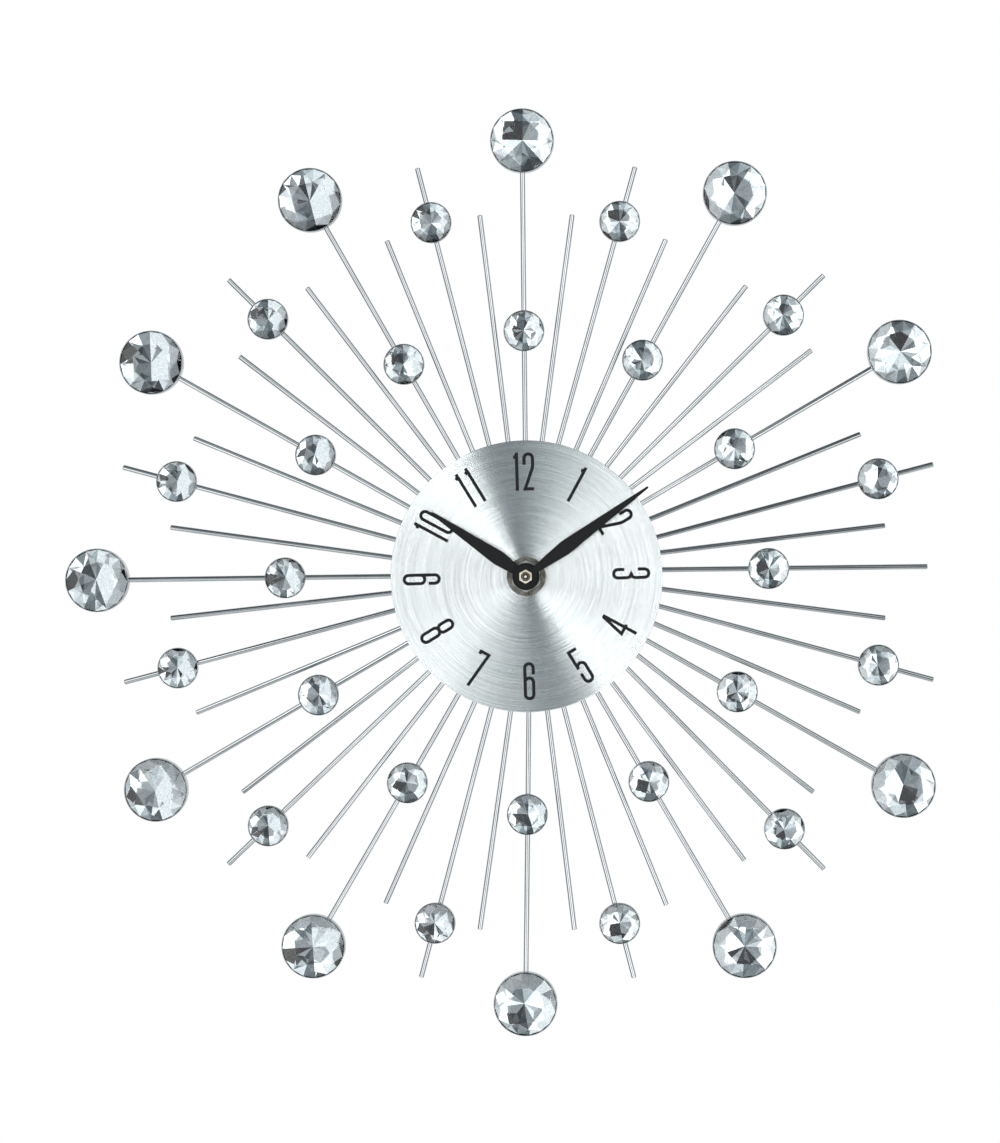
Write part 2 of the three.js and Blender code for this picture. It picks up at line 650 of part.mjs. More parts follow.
// A flat piece round the rotor with a leg up to each end of the coil's core.
function stator() {
  const { back, front, left, right, low, high, top, leg } = STATOR;
  return cut(
    union(
      block(left, right, low, high, back, front),
      block(left, left + leg, high - 1, top, back, front),
      block(right - leg, right, high - 1, top, back, front),
    ),
    disc(rotorAxis, STATOR_HOLE, 20, back + 1, front - 1),
  );
}

// A bobbin wound on a flat core whose ends lie on the stator's legs.
function coil() {
  const { z, radius, winding, flange, coreHalf, core } = COIL;
  const coreBack = STATOR.front - GAP;
  const start = STATOR.left + STATOR.leg + GAP;
  const end = STATOR.right - STATOR.leg - GAP;
  return union(
    block(STATOR.left, STATOR.right, z - coreHalf, z + coreHalf, coreBack, coreBack - core),
    bar(COIL, radius, start, start + flange, 16),
    bar(COIL, winding, start + flange, end - flange, 16),
    bar(COIL, radius, end - flange, end, 16),
  );
}

// The board with its sealed chip and the can of the quartz crystal.
function circuitBoard() {
  const { back } = BOARD;
  const { left, right, low, high, height, corner } = CRYSTAL;
  return union(
    block(BOARD.left, BOARD.right, BOARD.low, BOARD.high, back, BOARD.front),
    disc(CHIP.at, CHIP.radius, 12, back + CHIP.height, back),
    block(left, right, low, high, back + height, back, corner),
  );
}

// A strip at one end of the bay, with a tab that reaches the board through the case's partition.
function positiveContact() {
  const { x, low, high, thickness, back, front } = CONTACT;
  const { overlap, high: tabHigh, front: tabFront } = CONTACT_TAB;
  return union(
    block(x, x + thickness, low, high, back, front),
    block(x, x + thickness, high - overlap, tabHigh, back, tabFront),
  );
}

// A strip with a sprung tongue that presses on the flat end of the battery.
function negativeContact() {
  const { low, high, thickness, back, front } = CONTACT;
  const { middle, foot, rise } = SPRING;
  const wall = -BAY_INNER + GAP;
  const strip = [low, middle - foot, middle, middle + foot, high].map((z) => {
    return [wall + (z === middle ? rise : 0), z];
  });
  const face = strip.map(([x, z]) => [x + thickness, z]).reverse();
  return slab(shapeOf([...strip, ...face]), back, front);
}

function battery() {
  const end = CONTACT.x - GAP - BATTERY.capLength;
  return union(
    bar(BATTERY, BATTERY.radius, end - BATTERY.length, end, 24),
    bar(BATTERY, BATTERY.capRadius, end, end + BATTERY.capLength, 12),
  );
}

piece("movement_case", movementCase(), CASE_BLACK);
piece("middle_plate", middlePlate(), GEAR_WHITE);
piece("back_cover", backCover(), CASE_BLACK);
piece("stator", stator(), STEEL);
piece("coil", coil(), COPPER);
piece("circuit_board", circuitBoard(), BOARD_GREEN);
piece("positive_contact", positiveContact(), BRASS);
piece("negative_contact", negativeContact(), BRASS);
piece("battery", battery(), BATTERY_SLEEVE);

export default clock;
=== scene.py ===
"""Looks of the jewelled sunburst wall clock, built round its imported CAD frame.

The frame is in metres, +Z up, +X to the right as seen from the front, and the front faces -Y. Clock angles
are degrees clockwise from 12 as seen from the front. The sizes named at the top are millimetres, and MM makes
metres of them. The camera, the studio and the texture scales are in metres.
"""
import math
import random

import bmesh
import bpy
from mathutils import Matrix, Vector
from mathutils.geometry import delaunay_2d_cdt


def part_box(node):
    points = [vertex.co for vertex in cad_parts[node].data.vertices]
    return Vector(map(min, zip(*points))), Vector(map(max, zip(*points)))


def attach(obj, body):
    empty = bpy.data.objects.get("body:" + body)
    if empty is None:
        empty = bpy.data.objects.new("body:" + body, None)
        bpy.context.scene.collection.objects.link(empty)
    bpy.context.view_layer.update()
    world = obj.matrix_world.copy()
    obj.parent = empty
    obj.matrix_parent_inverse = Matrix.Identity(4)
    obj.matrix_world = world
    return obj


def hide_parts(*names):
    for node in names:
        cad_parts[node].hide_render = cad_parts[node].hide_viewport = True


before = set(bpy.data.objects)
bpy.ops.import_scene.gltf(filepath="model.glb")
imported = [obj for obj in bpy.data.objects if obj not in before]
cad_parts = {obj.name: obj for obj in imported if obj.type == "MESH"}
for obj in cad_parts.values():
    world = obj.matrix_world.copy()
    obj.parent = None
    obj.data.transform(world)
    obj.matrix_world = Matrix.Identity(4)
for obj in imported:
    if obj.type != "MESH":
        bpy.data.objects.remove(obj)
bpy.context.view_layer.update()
MM = 0.001

# ---- Sizes that come from the frame ------------------------------------------------------------------------


def box_mm(node):
    """The lowest and the highest corner of a CAD node, in millimetres to a hundredth."""
    return [[round(value / MM, 2) for value in corner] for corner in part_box(node)]


dial_low, dial_high = box_mm("dial")
star_low, star_high = box_mm("ray_frame")
STAR_RADIUS = star_high[2]
STAR_FRONT, STAR_BACK = star_low[1], star_high[1]

# ---- Driving sizes, millimetres ----------------------------------------------------------------------------

HOURS = 12
RAYS_PER_HOUR = 4
RAYS = HOURS * RAYS_PER_HOUR
BARE_HOUR = 3  # its long rod carries no large jewel
ARBOR_HOLE = 4.35  # radius of the hole in the hub plate and the dial

ROD = {"radius": 0.93, "start": 26.0, "y": -19.65, "chamfer": 0.18, "bow": 0.1, "sides": 20, "steps": 10}
SHORT_RAY = 128.4
MEDIUM_RAY = 149.3
HUB_PLATE = {"radius": 40.0, "back": -17.6, "front": -18.8, "edge": 0.15, "sides": 160}

LARGE_SETTING = {"radius": 11.36, "wall": 0.35, "back": STAR_BACK, "front": STAR_BACK - 5.6}
SMALL_SETTING = {"radius": 7.27, "wall": 0.3, "back": STAR_FRONT + 3.0, "front": STAR_FRONT}
CUP_CORNER = 0.9
CUP_INNER_CORNER = 0.6
CUP_SIDES = 72
LARGE_CIRCLE = STAR_RADIUS - LARGE_SETTING["radius"]
INNER_CIRCLE = 86.0
OUTER_CIRCLE = 129.0
ROD_INTO_CUP = 0.2  # how far a long rod's end runs into the cup's rim

# A jewel is a round brilliant. The parts and CUT_PLAY are of its radius.
MAINS = 8
LARGE_CROWN = 1.05
SMALL_CROWN = 0.67
GIRDLE = 0.1
GIRDLE_BELOW_RIM = 0.35
JEWEL_CLEARANCE = 0.05
TABLE_PART = 0.6
KITE_PART = 0.8
MAIN_PART = 0.58  # outer corners of the pavilion's main facets
SIDE_PART = 0.4  # and their side corners
MAIN_SLOPE = 6.4  # degrees, of the pavilion round its point
OUTER_SLOPE = 6.0  # degrees, of the pavilion near the girdle
CUT_PLAY = 0.04  # how far the table and the point may be off the middle
HEIGHT_PLAY = 0.12  # spread of a corner's height, as a part of that
SEAT_TILT = 0.02  # spread of the slope that a jewel is set with
FLAT_EDGE = 0.4  # degrees; facets that meet at less than this become one

DIAL = {"radius": dial_high[0], "back": dial_high[1], "front": dial_low[1], "edge": 0.25, "back_edge": 0.1,
        "sides": 240}
NUMERAL_CIRCLE = 37.3
NUMERAL_TURN = -1.2  # degrees
HALF_WIDTH = 1.5  # of a digit, between its centre lines
HALF_HEIGHT = 6.22
HOOK = 2.3  # how far an open curl's end runs on past its arc
STROKE = 1.15
MITRE_LIMIT = 0.35  # stops a sharp corner from growing a long spike
FIRST_DIGIT = -2.65  # places of the digits in 10, 11 and 12
SECOND_DIGIT = 1.85
SECOND_ONE = 1.3  # a 1 stands closer
SAME_POINT = 1e-5  # corners nearer than this are joined
INK = 0.03
INK_SINK = 0.025  # the ink ends a little above the metal

# How the star was put together by hand: it sits a little above the arbor, and its rods lean.
STAR_RISE = 1.3
ROD_SHIFT = (-0.45, 0.3)  # mean and spread at LEAN_FROM, clockwise
LEAN_FROM = 45.0
LONG_LEAN = (0.1, 0.35)  # degrees, mean and spread
SHORT_LEAN = (0.7, 0.5)

DETAIL_SEED = 7  # for the cut of the jewels and the bow of the rods
# The leans and shifts are random draws, but this seed isn't an ordinary one. A search over about 4.87 million
# seeds picked it, because its draws put the jewels nearest to where they were measured in the photo.
STAR_SEED = 1118161
rng = random.Random(DETAIL_SEED)
star_rng = random.Random(STAR_SEED)

# ---- Camera ------------------------------------------------------------------------------------------------

CAMERA_DISTANCE = 1.3
VIEW_WIDTH = 0.3561  # at that distance
CAMERA_AZIMUTH = 2.4  # degrees
CAMERA_ELEVATION = 0.5
CAMERA_ROLL = 0.44
AIM = Vector((-0.0094, -0.021, 0.0018))


def make_camera():
    data = bpy.data.cameras.new("camera")
    camera = bpy.data.objects.new("camera", data)
    bpy.context.scene.collection.objects.link(camera)
    azimuth, elevation = math.radians(CAMERA_AZIMUTH), math.radians(CAMERA_ELEVATION)
    level = math.cos(elevation)
    back = Vector((math.sin(azimuth) * level, -math.cos(azimuth) * level, math.sin(elevation)))
    turn = (-back).to_track_quat("-Z", "Y").to_matrix().to_4x4()
    roll = Matrix.Rotation(math.radians(-CAMERA_ROLL), 4, "Z")
    camera.matrix_world = Matrix.Translation(AIM + back * CAMERA_DISTANCE) @ turn @ roll
    data.sensor_fit = "HORIZONTAL"
    data.lens = data.sensor_width * CAMERA_DISTANCE / VIEW_WIDTH
    bpy.context.scene.camera = camera


# ---- Shader nodes ------------------------------------------------------------------------------------------


class Graph:
    """A short way to write shader nodes: a value is a socket, a number or a colour."""

    def __init__(self, tree):
        self.nodes, self.links = tree.nodes, tree.links

    def add(self, kind, **settings):
        node = self.nodes.new(kind)
        for key, value in settings.items():
            setattr(node, key, value)
        return node

    def feed(self, socket, value):
        if isinstance(value, bpy.types.NodeSocket):
            self.links.new(value, socket)
        elif isinstance(value, tuple) and socket.type == "RGBA":
            socket.default_value = (*value, 1)
        else:
            socket.default_value = value

    def math(self, operation, *values):
        node = self.add("ShaderNodeMath", operation=operation)
        for socket, value in zip(node.inputs, values):
            self.feed(socket, value)
        return node.outputs[0]

    def vector_math(self, operation, *values):
        node = self.add("ShaderNodeVectorMath", operation=operation)
        for socket, value in zip(node.inputs, values):
            self.feed(socket, value)
        return node.outputs[0]

    def mix(self, factor, first, second, blend="MIX"):
        node = self.add("ShaderNodeMix", data_type="RGBA", blend_type=blend)
        # of its sockets, inputs 6 and 7 and output 2 are the ones for colours
        for index, value in ((0, factor), (6, first), (7, second)):
            self.feed(node.inputs[index], value)
        return node.outputs[2]

    def remap(self, value, low, high, new_low=0.0, new_high=1.0, kind="LINEAR"):
        node = self.add("ShaderNodeMapRange", interpolation_type=kind)
        for socket, number in zip(node.inputs, (value, low, high, new_low, new_high)):
            self.feed(socket, number)
        return node.outputs[0]

    def noise(self, vector, scale, detail=3.0, roughness=0.5):
        node = self.add("ShaderNodeTexNoise")
        self.feed(node.inputs["Vector"], vector)
        self.feed(node.inputs["Scale"], scale)
        self.feed(node.inputs["Detail"], detail)
        self.feed(node.inputs["Roughness"], roughness)
        return node.outputs["Fac"]

    def ramp(self, value, stops):
        node = self.add("ShaderNodeValToRGB")
        elements = node.color_ramp.elements
        while len(elements) < len(stops):
            elements.new(1.0)
        for element, (place, colour) in zip(elements, stops):
            element.position = place
            element.color = (*colour, 1)
        self.feed(node.inputs[0], value)
        return node.outputs[0]

    def split(self, vector):
        node = self.add("ShaderNodeSeparateXYZ")
        self.feed(node.inputs[0], vector)
        return node.outputs

    def join(self, *values):
        node = self.add("ShaderNodeCombineXYZ")
        for socket, value in zip(node.inputs, values):
            self.feed(socket, value)
        return node.outputs[0]

    def place(self, kind="Object"):
        return self.add("ShaderNodeTexCoord").outputs[kind]


# ---- Materials ---------------------------------------------------------------------------------------------


NOISE_SPAN = (0.3, 0.7)  # where most values of a noise texture lie
BLOTCH_SPAN = (0.35, 0.65)  # narrower, for blotches with plainer edges
CLOUDS = 60.0  # scale of the slow change of tone in plastic and paint


def new_material(name, colour, roughness, metallic=0.0):
    material = bpy.data.materials.new(name)
    material.use_nodes = True
    g = Graph(material.node_tree)
    shader = g.nodes["Principled BSDF"]
    g.feed(shader.inputs["Base Color"], colour)
    g.feed(shader.inputs["Roughness"], roughness)
    g.feed(shader.inputs["Metallic"], metallic)
    return material, shader.inputs, g


def bump(g, inputs, height, distance, strength):
    node = g.add("ShaderNodeBump")
    g.feed(node.inputs["Distance"], distance)
    g.feed(node.inputs["Strength"], strength)
    g.feed(node.inputs["Height"], height)
    g.feed(inputs["Normal"], node.outputs["Normal"])


def worn_metal(name, dark, light, roughness, grain=300.0, relief=0.00001, metallic=1.0):
    """Metal with faint blotches in its colour and polish and a very fine relief."""
    material, inputs, g = new_material(name, light, roughness, metallic)
    place = g.place()
    blotch = g.noise(place, grain / 3, detail=4.0)
    fine = g.noise(place, grain)
    g.feed(inputs["Base Color"], g.mix(g.remap(blotch, *BLOTCH_SPAN), dark, light))
    g.feed(inputs["Roughness"], g.remap(fine, *NOISE_SPAN, roughness * 0.8, roughness * 1.25))
    bump(g, inputs, fine, relief, strength=0.3)
    return material


# Changes of the noise for each metre outwards, and for each radian round the dial.
STREAKS = (5200.0, 1.6)
GROOVES = (60000.0, 0.3)
GROOVE_SLOPE = 1.9


def spun_metal(name):
    """Aluminium turned on a lathe: fine grooves round the Y axis, which spread highlights across them."""
    material, inputs, g = new_material(name, (0.93, 0.94, 0.945), roughness=0.23, metallic=1.0)
    g.feed(inputs["Anisotropic"], 1.0)
    g.feed(inputs["Anisotropic Rotation"], 0.25)
    tangent = g.add("ShaderNodeTangent", direction_type="RADIAL", axis="Y")
    g.feed(inputs["Tangent"], tangent.outputs[0])
    x, _, z = g.split(g.place())
    radius = g.math("SQRT", g.math("ADD", g.math("MULTIPLY", x, x), g.math("MULTIPLY", z, z)))
    across = g.math("DIVIDE", x, radius)
    along = g.math("DIVIDE", z, radius)

    def rings(fineness, wander):
        """Noise that changes fast with the radius and slowly round the dial."""
        vector = g.join(g.math("MULTIPLY", across, wander), g.math("MULTIPLY", along, wander),
                        g.math("MULTIPLY", radius, fineness))
        return g.noise(vector, 1.0, roughness=0.65)

    tone = g.remap(rings(*STREAKS), *NOISE_SPAN)
    g.feed(inputs["Base Color"], g.mix(tone, (0.69, 0.74, 0.745), (0.965, 1.0, 1.0)))
    slope = g.math("MULTIPLY", g.math("SUBTRACT", rings(*GROOVES), 0.5), GROOVE_SLOPE)
    outward = g.add("ShaderNodeVectorTransform", vector_type="VECTOR",
                    convert_from="OBJECT", convert_to="WORLD")
    lean = g.join(g.math("MULTIPLY", across, slope), 0.0, g.math("MULTIPLY", along, slope))
    g.feed(outward.inputs[0], lean)
    flat = g.add("ShaderNodeNewGeometry").outputs["Normal"]
    tilted = g.vector_math("ADD", flat, outward.outputs[0])
    g.feed(inputs["Normal"], g.vector_math("NORMALIZE", tilted))
    return material


def moulded(name, colour, roughness, grain=2500.0, relief=0.00002, shine=0.5):
    """Moulded plastic, rubber or paint with a fine texture."""
    material, inputs, g = new_material(name, colour, roughness)
    place = g.place()
    fine = g.noise(place, grain, detail=2.0)
    dull = tuple(c * 0.85 for c in colour)
    g.feed(inputs["Base Color"], g.mix(g.noise(place, CLOUDS), dull, colour))
    g.feed(inputs["Roughness"], g.remap(fine, *NOISE_SPAN, roughness * 0.85, roughness * 1.15))
    g.feed(inputs["Specular IOR Level"], shine)
    bump(g, inputs, fine, relief, strength=0.4)
    return material


def acrylic(name):
    material, inputs, g = new_material(name, (0.985, 1.0, 0.995), roughness=0.0)
    g.feed(inputs["IOR"], 1.49)
    g.feed(inputs["Transmission Weight"], 1.0)
    return material


def make_materials():
    """The looks by name. A metal's two colours are its darkest and its lightest."""
    return {
        "steel": worn_metal("polished_steel", (0.49, 0.515, 0.525), (0.57, 0.59, 0.6), 0.08,
                            grain=200.0, relief=0.0000005),
        "cup": worn_metal("tarnished_cup", (0.26, 0.29, 0.3), (0.42, 0.45, 0.46), 0.2,
                          grain=200.0, relief=0.000004),
        "foil": worn_metal("mirror_foil", (0.35, 0.385, 0.41), (0.45, 0.48, 0.495), 0.03,
                           grain=4500.0, relief=0.000001),
        "acrylic": acrylic("clear_acrylic"),
        "spun": spun_metal("spun_aluminium"),
        "ink": moulded("black_ink", (0.01, 0.011, 0.012), 0.6, grain=1800.0, relief=0.000004, shine=0.2),
        "black_paint": moulded("matt_black_paint", (0.012, 0.0125, 0.013), 0.6,
                               grain=1500.0, relief=0.00001, shine=0.15),
        "nickel": worn_metal("dull_nickel", (0.13, 0.13, 0.112), (0.32, 0.315, 0.28), 0.3,
                             grain=1500.0, relief=0.00003),
        "nut": worn_metal("bright_nickel", (0.7, 0.69, 0.65), (0.9, 0.89, 0.86), 0.14, grain=900.0),
        "hand_nut": worn_metal("lacquered_brass", (0.7, 0.64, 0.5), (0.9, 0.86, 0.74), 0.35,
                               grain=600.0, metallic=0.45),
        "pipe": worn_metal("dull_brass", (0.16, 0.14, 0.1), (0.3, 0.26, 0.18), 0.3),
        "rubber": moulded("black_rubber", (0.02, 0.02, 0.02), 0.75),
        "black_plastic": moulded("black_plastic", (0.022, 0.022, 0.024), 0.45),
        "white_plastic": moulded("white_acetal", (0.8, 0.79, 0.74), 0.4),
        "red_plastic": moulded("red_knob_plastic", (0.5, 0.03, 0.03), 0.3),
        "magnet": worn_metal("bonded_ferrite", (0.06, 0.06, 0.065), (0.12, 0.12, 0.125), 0.5, metallic=0.3),
        "silicon_steel": worn_metal("silicon_steel", (0.4, 0.41, 0.43), (0.56, 0.57, 0.6), 0.35),
        "copper": worn_metal("enamelled_copper", (0.5, 0.2, 0.09), (0.75, 0.36, 0.2), 0.3),
        "board": moulded("green_board", (0.03, 0.17, 0.08), 0.35),
        "contact": worn_metal("plated_spring", (0.6, 0.58, 0.52), (0.8, 0.78, 0.72), 0.25),
        "battery": moulded("battery_sleeve", (0.05, 0.075, 0.13), 0.25),
    }


# ---- Studio ------------------------------------------------------------------------------------------------

# The light that comes from round the Y axis, from 12 (0) over 3 (0.5) to 6 (1), and the same again from 6
# over 9 to 12. The places and levels are chosen for the light and dark wedges on the dial.
STUDIO = [
    (0.0, (0.35, 0.395, 0.415)),
    (0.055, (0.58, 0.64, 0.66)),
    (0.11, (1.0, 1.07, 1.08)),
    (0.167, (1.36, 1.41, 1.42)),
    (0.22, (1.62, 1.66, 1.67)),
    (0.35, (2.2, 2.23, 2.24)),
    (0.5, (2.35, 2.38, 2.39)),
    (0.7, (2.05, 2.08, 2.08)),
    (0.78, (2.5, 2.53, 2.53)),
    (0.84, (2.5, 2.53, 2.53)),
    (0.856, (0.34, 0.38, 0.4)),
    (0.935, (0.19, 0.225, 0.245)),
    (1.0, (0.35, 0.395, 0.415)),
]
# How much of it there is away from the front, by the cosine of that angle: dim towards the sides (0), bright
# from 33 degrees (0.835) to 24 degrees (0.915), and dim again round the camera.
SPREAD = [
    (0.05, (0.17, 0.175, 0.18)),
    (0.5, (0.3, 0.305, 0.31)),
    (0.7, (0.55, 0.55, 0.55)),
    (0.8, (0.6, 0.6, 0.6)),
    (0.835, (1.4, 1.4, 1.4)),
    (0.915, (1.4, 1.4, 1.4)),
    (0.94, (0.42, 0.425, 0.43)),
    (0.975, (0.3, 0.305, 0.31)),
]
# How much of it there is from the far left (0) to the far right (1).
SIDES = [
    (0.03, (0.7, 0.71, 0.72)),
    (0.08, (0.85, 0.855, 0.86)),
    (0.16, (0.85, 0.855, 0.86)),
    (0.22, (1.0, 1.0, 1.0)),
    (0.8, (1.0, 1.0, 1.0)),
    (0.9, (1.2, 1.2, 1.2)),
]
# Straight ahead of the clock and behind it the studio has a colour of its own. Each blends in between two y
# components of the direction.
FRONT = (0.32, 0.34, 0.35)
FRONT_BLEND = (-0.998, -0.985)
BEHIND = (0.92, 0.95, 0.98)
BEHIND_BLEND = (0.3, 0.8)
WHITE = (1, 1, 1)

# Name, centre, width, height (metres) and colour.
CARDS = [
    ("camera_stand", (0.18, -0.7, 0.0), 0.24, 0.24, (0.14, 0.13, 0.128)),
    ("left_light", (-0.35, -0.52, 0.0), 0.18, 0.9, (2.1, 2.12, 2.12)),
    ("lower_light", (-0.12, -0.6, -0.42), 0.22, 0.1, (1.4, 1.4, 1.39)),
]
FLOOR_SIZE = 1.2
FLOOR_Z = -0.5
FLOOR_GLOW = 0.35  # lifts the floor to a pale grey where the studio leaves it dim


def make_world():
    """A studio with light on both sides and little above and below, and plain white for the camera."""
    world = bpy.data.worlds.new("studio")
    bpy.context.scene.world = world
    world.use_nodes = True
    g = Graph(world.node_tree)
    g.nodes.clear()
    x, y, z = g.split(g.place("Generated"))
    turn = g.math("FRACT", g.math("MULTIPLY_ADD", g.math("ARCTAN2", x, z), 1 / math.pi, 1.0))
    studio = g.ramp(turn, STUDIO)
    studio = g.mix(1.0, studio, g.ramp(g.math("MULTIPLY", y, -1.0), SPREAD), "MULTIPLY")
    studio = g.mix(1.0, studio, g.ramp(g.math("MULTIPLY_ADD", x, 0.5, 0.5), SIDES), "MULTIPLY")
    studio = g.mix(g.remap(y, *FRONT_BLEND, 1.0, 0.0, "SMOOTHSTEP"), studio, FRONT)
    studio = g.mix(g.remap(y, *BEHIND_BLEND, kind="SMOOTHSTEP"), studio, BEHIND)
    seen = g.add("ShaderNodeLightPath").outputs["Is Camera Ray"]
    shade = g.add("ShaderNodeBackground")
    g.feed(shade.inputs["Color"], g.mix(seen, studio, WHITE))
    g.links.new(shade.outputs[0], g.add("ShaderNodeOutputWorld").inputs[0])


def rectangle(name, width, height, z=0.0):
    """A flat rectangle across the Z axis, with its middle on the axis."""
    x, y = width / 2, height / 2
    mesh = bpy.data.meshes.new(name)
    mesh.from_pydata([(-x, -y, z), (x, -y, z), (x, y, z), (-x, y, z)], [], [(0, 1, 2, 3)])
    sheet = bpy.data.objects.new(name, mesh)
    bpy.context.scene.collection.objects.link(sheet)
    return sheet


def make_card(name, centre, width, height, colour):
    """A card that only reflections see. It faces the clock."""
    card = rectangle(name, width, height)
    facing = (-Vector(centre)).to_track_quat("Z", "Y").to_matrix().to_4x4()
    card.matrix_world = Matrix.Translation(centre) @ facing
    material = bpy.data.materials.new(name)
    material.use_nodes = True
    g = Graph(material.node_tree)
    g.nodes.clear()
    glow = g.add("ShaderNodeEmission")
    g.feed(glow.inputs["Color"], colour)
    g.links.new(glow.outputs[0], g.add("ShaderNodeOutputMaterial").inputs[0])
    card.data.materials.append(material)
    card.visible_camera = False
    card.visible_shadow = False
    card.visible_diffuse = False


def make_floor():
    floor = rectangle("floor", FLOOR_SIZE, FLOOR_SIZE, FLOOR_Z)
    pale = moulded("pale_floor", (0.9, 0.9, 0.89), 0.8, grain=40.0, relief=0.0001)
    shader = pale.node_tree.nodes["Principled BSDF"].inputs
    shader["Emission Color"].default_value = (*WHITE, 1)
    shader["Emission Strength"].default_value = FLOOR_GLOW
    floor.data.materials.append(pale)


# ---- Mesh helpers ------------------------------------------------------------------------------------------


def finish_piece(name, bm, materials, body, replaces=(), smooth=0.0):
    """A bmesh in metres as a piece that rides on a CAD body. Faces that meet at less than `smooth` degrees
    are shaded smoothly into each other."""
    mesh = bpy.data.meshes.new(name)
    bmesh.ops.recalc_face_normals(bm, faces=bm.faces)
    for face in bm.faces:
        face.smooth = smooth > 0
    for edge in bm.edges:
        edge.smooth = edge.is_manifold and edge.calc_face_angle(math.pi) < math.radians(smooth)
    bm.to_mesh(mesh)
    bm.free()
    for material in materials:
        mesh.materials.append(material)
    piece = bpy.data.objects.new(name, mesh)
    bpy.context.scene.collection.objects.link(piece)
    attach(piece, body)
    if replaces:
        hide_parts(*replaces)


def turned(bm, profile, segments, place=Vector((0, 0, 0))):
    """A profile of (radius, y) in millimetres, turned round the Y axis and moved to a place in metres. A
    radius of 0 is a pole. A profile without poles closes on itself."""
    rings = []
    for radius, y in profile:
        count = segments if radius else 1
        ring = []
        for i in range(count):
            a = 2 * math.pi * i / count
            corner = Vector((radius * math.sin(a), y, radius * math.cos(a)))
            ring.append(bm.verts.new(place + corner * MM))
        rings.append(ring)
    pairs = list(zip(rings, rings[1:]))
    if profile[0][0] and profile[-1][0]:
        pairs.append((rings[-1], rings[0]))
    for first, second in pairs:
        for i in range(segments):
            corners = [first[i % len(first)], first[(i + 1) % len(first)],
                       second[(i + 1) % len(second)], second[i % len(second)]]
            unique = list(dict.fromkeys(corners))
            if len(unique) > 2:
                bm.faces.new(unique)


def arc_points(centre, radius, start, end, steps):
    """Points on an arc, with angles in degrees from the first axis towards the second."""
    points = []
    for i in range(steps + 1):
        a = math.radians(start + (end - start) * i / steps)
        points.append((centre[0] + radius * math.cos(a), centre[1] + radius * math.sin(a)))
    return points


# ---- Rays, plate and settings ------------------------------------------------------------------------------


class Ray:
    """One rod's line as it was welded: it starts a little beside its radius and leans."""

    def __init__(self, index):
        self.turn = Matrix.Rotation(math.radians(360 / RAYS * index), 4, "Y")
        lean = LONG_LEAN if index % RAYS_PER_HOUR == 0 else SHORT_LEAN
        self.lean = math.tan(math.radians(star_rng.gauss(*lean)))
        self.shift = star_rng.gauss(*ROD_SHIFT)
        if index % 2:
            self.tip = SHORT_RAY
        elif index % RAYS_PER_HOUR:
            self.tip = MEDIUM_RAY
        else:
            bare = index == BARE_HOUR * RAYS_PER_HOUR
            self.tip = LARGE_CIRCLE - LARGE_SETTING["radius"] + (0 if bare else ROD_INTO_CUP)

    def point(self, along, side=0.0, y=0.0):
        """A point in metres: `along` the ray, `side` clockwise from its middle, at the level y."""
        x = self.shift + (along - LEAN_FROM) * self.lean + side
        return self.turn @ (Vector((x, y, along)) * MM) + Vector((0, 0, STAR_RISE)) * MM


rays = [Ray(index) for index in range(RAYS)]


def add_rod(bm, ray):
    """A drawn steel rod with chamfered ends and a slight bow."""
    full, start, level, chamfer = (ROD[key] for key in ("radius", "start", "y", "chamfer"))
    sides, steps = ROD["sides"], ROD["steps"]
    bow = rng.uniform(-ROD["bow"], ROD["bow"])
    length = ray.tip - start
    stations = [(start, full - chamfer), (start + chamfer, full)]
    stations += [(start + length * i / steps, full) for i in range(1, steps)]
    stations += [(ray.tip - chamfer, full), (ray.tip, full - chamfer)]
    rings = []
    for along, radius in stations:
        side = bow * math.sin(math.pi * (along - start) / length)
        ring = []
        for i in range(sides):
            a = 2 * math.pi * i / sides
            place = ray.point(along, side + radius * math.cos(a), level + radius * math.sin(a))
            ring.append(bm.verts.new(place))
        rings.append(ring)
    for first, second in zip(rings, rings[1:]):
        for i in range(sides):
            bm.faces.new((first[i], first[(i + 1) % sides], second[(i + 1) % sides], second[i]))
    bm.faces.new(rings[0])
    bm.faces.new(rings[-1])


def make_rays(look):
    bm = bmesh.new()
    for ray in rays:
        add_rod(bm, ray)
    finish_piece("steel_rays", bm, [look["steel"]], "clock", ["ray_frame"], smooth=40)


def make_hub_plate(look):
    outer, back, front, edge = (HUB_PLATE[key] for key in ("radius", "back", "front", "edge"))
    profile = [(ARBOR_HOLE, back), (outer - edge, back), (outer, back - edge), (outer, front + edge),
               (outer - edge, front), (ARBOR_HOLE, front)]
    bm = bmesh.new()
    turned(bm, profile, HUB_PLATE["sides"])
    finish_piece("hub_plate", bm, [look["steel"]], "clock", ["ray_frame"], smooth=50)


def make_setting(name, place, size, look):
    """A pressed cup with rounded lower corners and a rolled rim."""
    radius, wall, back, front = (size[key] for key in ("radius", "wall", "back", "front"))
    lip = wall * 0.5
    floor = back - wall
    outside = arc_points((radius - CUP_CORNER, back - CUP_CORNER), CUP_CORNER, 90, 0, steps=5)
    rim = arc_points((radius - lip, front + lip), lip, 0, -180, steps=8)
    bend = CUP_INNER_CORNER
    inside = arc_points((radius - wall - bend, floor - bend), bend, 0, 90, steps=4)
    bm = bmesh.new()
    turned(bm, [(0, back)] + outside + rim + inside + [(0, floor)], CUP_SIDES, place)
    finish_piece(name, bm, [look["cup"]], "clock", ["ray_frame"], smooth=50)


# ---- Jewels ------------------------------------------------------------------------------------------------


